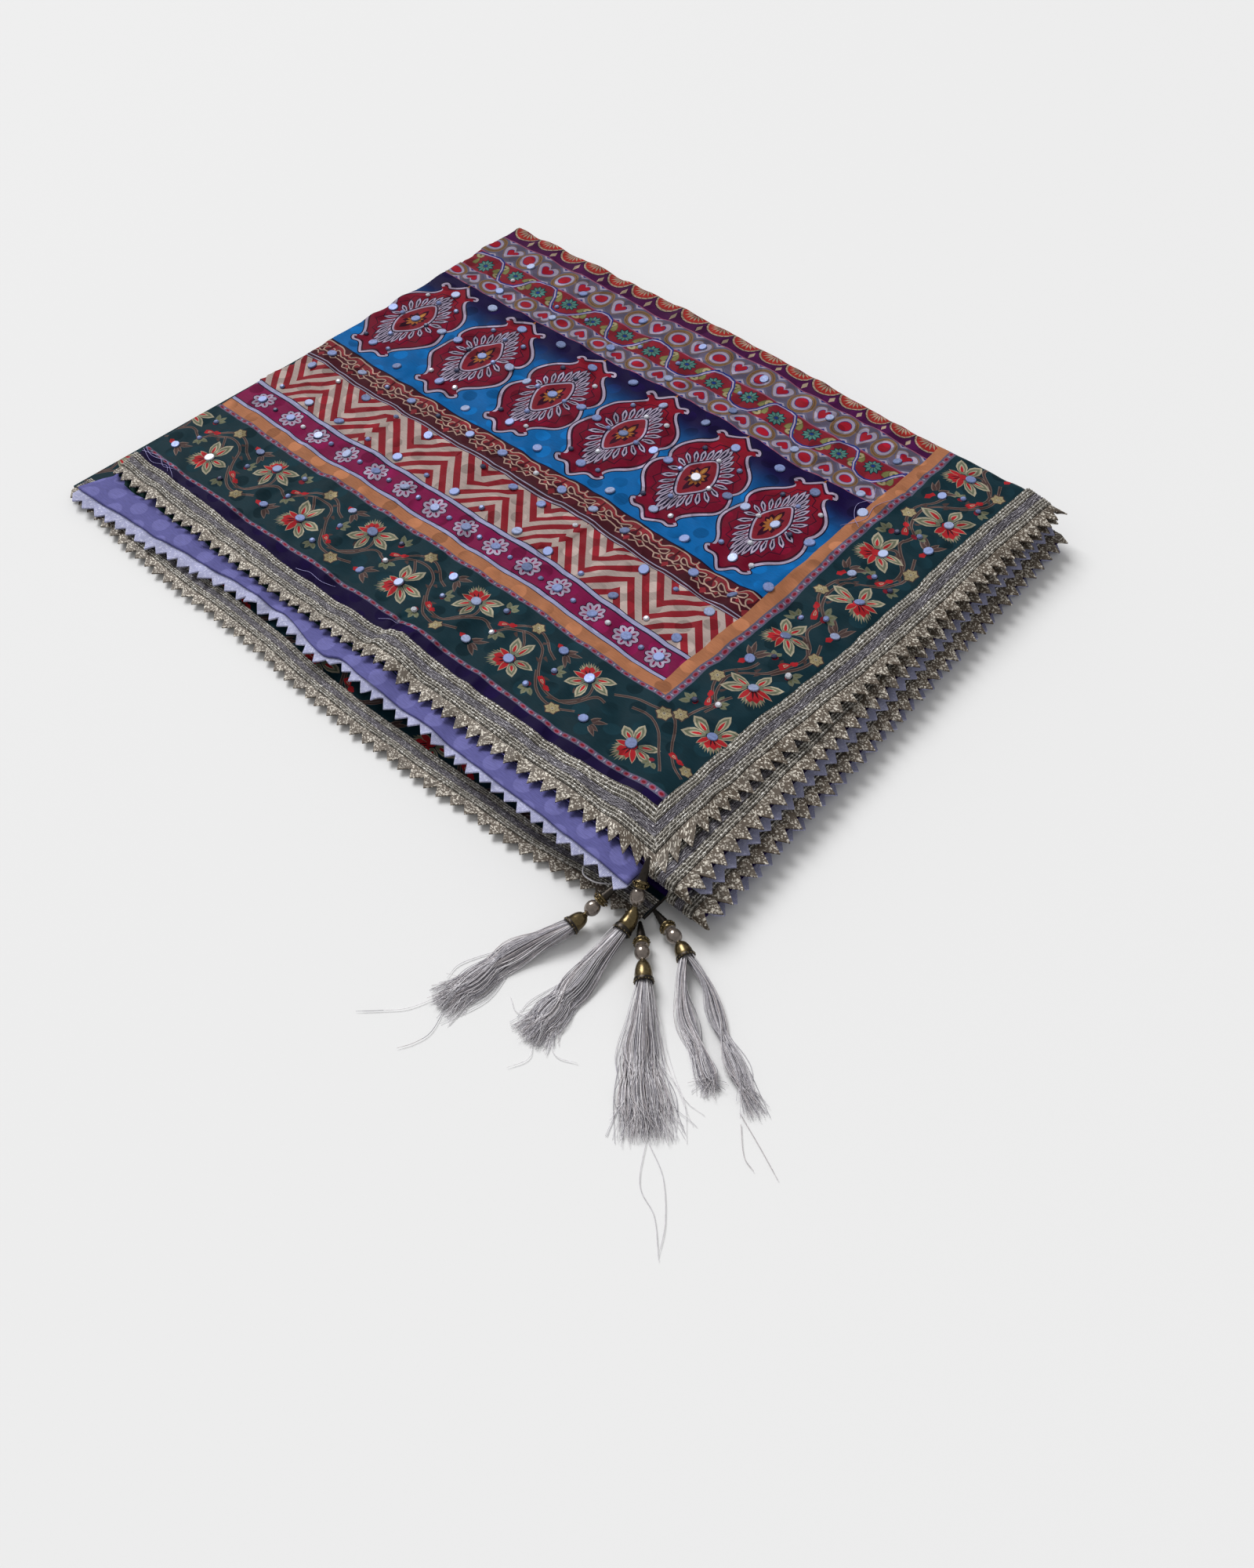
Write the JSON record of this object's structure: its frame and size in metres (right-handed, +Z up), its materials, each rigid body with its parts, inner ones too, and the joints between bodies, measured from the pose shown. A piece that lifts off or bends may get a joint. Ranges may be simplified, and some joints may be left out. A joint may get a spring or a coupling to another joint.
{
  "type": "folded dupatta stole",
  "caption": "Printed satin dupatta stole folded into a flat pile, with a lavender reverse, zigzag gold trim on its edges and beaded silk tassels at one corner.",
  "frame": {"origin": "on the floor under the middle of the folded pile", "axes": "+X from the lengthwise fold to the open long edges, +Y from the short ends to the crosswise folds, +Z up"},
  "size_m": [0.4507, 0.3654, 0.0256],
  "materials": {
    "printed_satin": "satin with soft sheen",
    "lavender_reverse": "woven, soft sheen",
    "zari_trim": "metallic thread",
    "trim_backing": "matt woven",
    "antique_gold": "antique polish",
    "tassel_silk": "metallic silk thread"
  },
  "bodies": {
    "root": {"printed_top_layer": "printed_satin", "folded_core": "printed_satin", "bottom_layer": "printed_satin", "upper_roll": "printed_satin", "lower_roll": "printed_satin", "reverse_layer": "lavender_reverse", "end_trim_top": "zari_trim", "side_trim_top": "zari_trim", "end_trim_bottom": "zari_trim", "upper_roll_trim": "zari_trim", "lower_roll_trim": "zari_trim", "end_trim_reverse": "trim_backing", "upper_roll_backing": "trim_backing", "lower_roll_backing": "trim_backing", "tassel_1_beads": "antique_gold", "tassel_2_beads": "antique_gold", "tassel_3_beads": "antique_gold", "tassel_4_beads": "antique_gold", "tassel_1_silk": "tassel_silk", "tassel_2_silk": "tassel_silk", "tassel_3_silk": "tassel_silk", "tassel_4_silk": "tassel_silk"}
  },
  "joints": []
}
